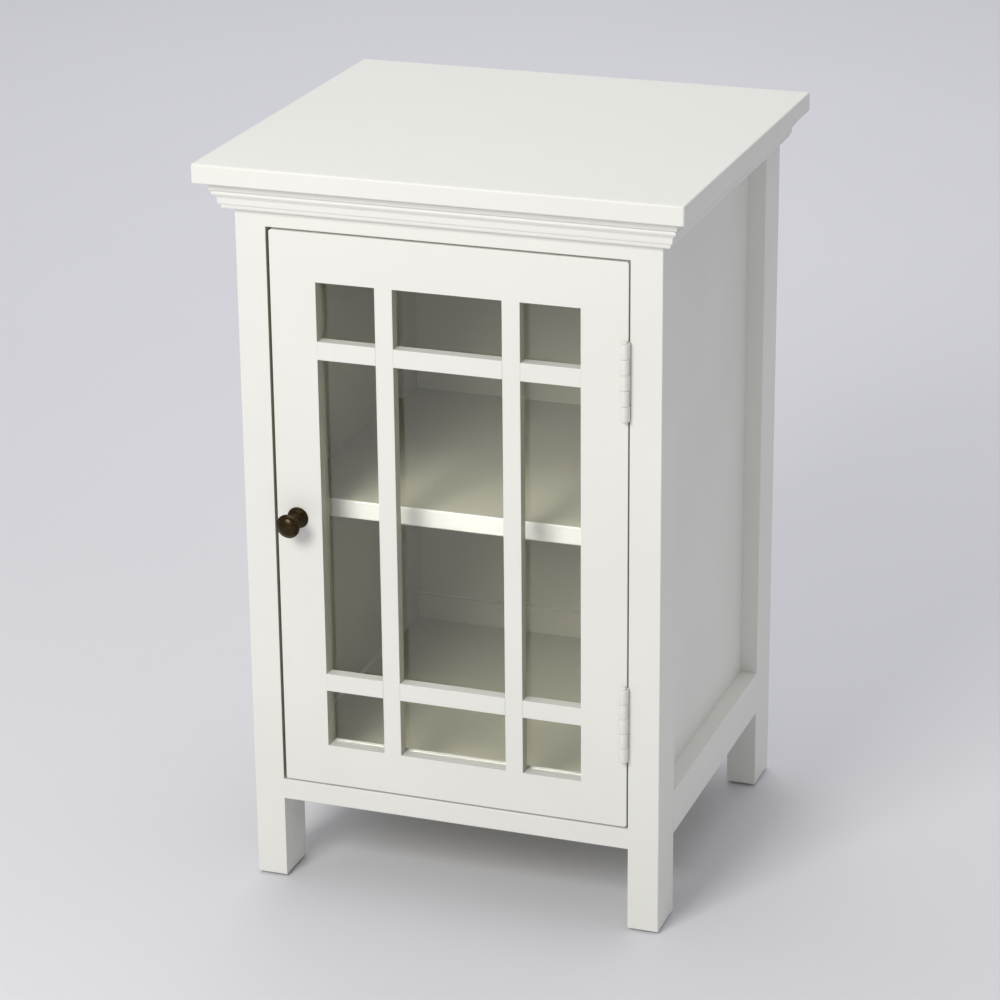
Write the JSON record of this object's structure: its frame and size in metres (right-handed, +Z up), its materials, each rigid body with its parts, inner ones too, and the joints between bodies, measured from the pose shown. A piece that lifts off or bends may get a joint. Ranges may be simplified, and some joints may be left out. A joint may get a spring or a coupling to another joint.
{
  "type": "apothecary cabinet",
  "caption": "Small free-standing cabinet on square legs, with an overhanging top on a stepped crown, recessed side panels, an inner shelf and a glazed grille door with a round pull.",
  "frame": {"origin": "on the floor, under the centre of the top board's footprint", "axes": "+X to the right as seen from the front, +Y to the back, +Z up; the door faces -Y"},
  "size_m": [0.457, 0.418, 0.711],
  "materials": {
    "painted_wood": "white satin paint",
    "painted_steel": "white satin paint over steel",
    "antique_bronze": "dark antique bronze, rubbed on the crown",
    "clear_glass": "clear float glass",
    "zinc_steel": "zinc plated",
    "dark_plastic": "moulded, matt",
    "soft_rubber": "matt"
  },
  "bodies": {
    "case": {"top_slab": "painted_wood", "crown_front": "painted_wood", "crown_left": "painted_wood", "crown_right": "painted_wood", "leg_front_left": "painted_wood", "leg_front_right": "painted_wood", "leg_rear_left": "painted_wood", "leg_rear_right": "painted_wood", "rail_front_top": "painted_wood", "rail_front_bottom": "painted_wood", "rail_left_top": "painted_wood", "rail_left_bottom": "painted_wood", "rail_right_top": "painted_wood", "rail_right_bottom": "painted_wood", "panel_left": "painted_wood", "panel_right": "painted_wood", "rail_rear_top": "painted_wood", "rail_rear_bottom": "painted_wood", "panel_rear": "painted_wood", "floor_board": "painted_wood", "shelf": "painted_wood", "shelf_cleat_left": "painted_wood", "shelf_cleat_right": "painted_wood", "top_batten_left": "painted_wood", "top_batten_right": "painted_wood", "door_stop": "painted_wood", "glide_front_left": "dark_plastic", "glide_front_right": "dark_plastic", "glide_rear_left": "dark_plastic", "glide_rear_right": "dark_plastic", "catch_body": "dark_plastic", "bumper_top": "soft_rubber", "bumper_bottom": "soft_rubber", "hinge_upper_frame_leaf": "painted_steel", "hinge_upper_pin": "painted_steel", "hinge_lower_frame_leaf": "painted_steel", "hinge_lower_pin": "painted_steel"},
    "door": {"stile_left": "painted_wood", "stile_right": "painted_wood", "door_rail_top": "painted_wood", "door_rail_bottom": "painted_wood", "muntin_left": "painted_wood", "muntin_right": "painted_wood", "muntin_upper_left": "painted_wood", "muntin_upper_middle": "painted_wood", "muntin_upper_right": "painted_wood", "muntin_lower_left": "painted_wood", "muntin_lower_middle": "painted_wood", "muntin_lower_right": "painted_wood", "bead_left": "painted_wood", "bead_right": "painted_wood", "bead_top": "painted_wood", "bead_bottom": "painted_wood", "door_glass": "clear_glass", "knob_rose": "antique_bronze", "knob": "antique_bronze", "knob_screw": "zinc_steel", "catch_strike": "zinc_steel", "hinge_upper_door_leaf": "painted_steel", "hinge_lower_door_leaf": "painted_steel"}
  },
  "joints": [
    {"name": "door_swing", "type": "hinge", "parent": "case", "child": "door", "pos_m": [0.168, -0.18275, 0], "axis": [0, 0, 1], "range_deg": [0, 180]}
  ]
}
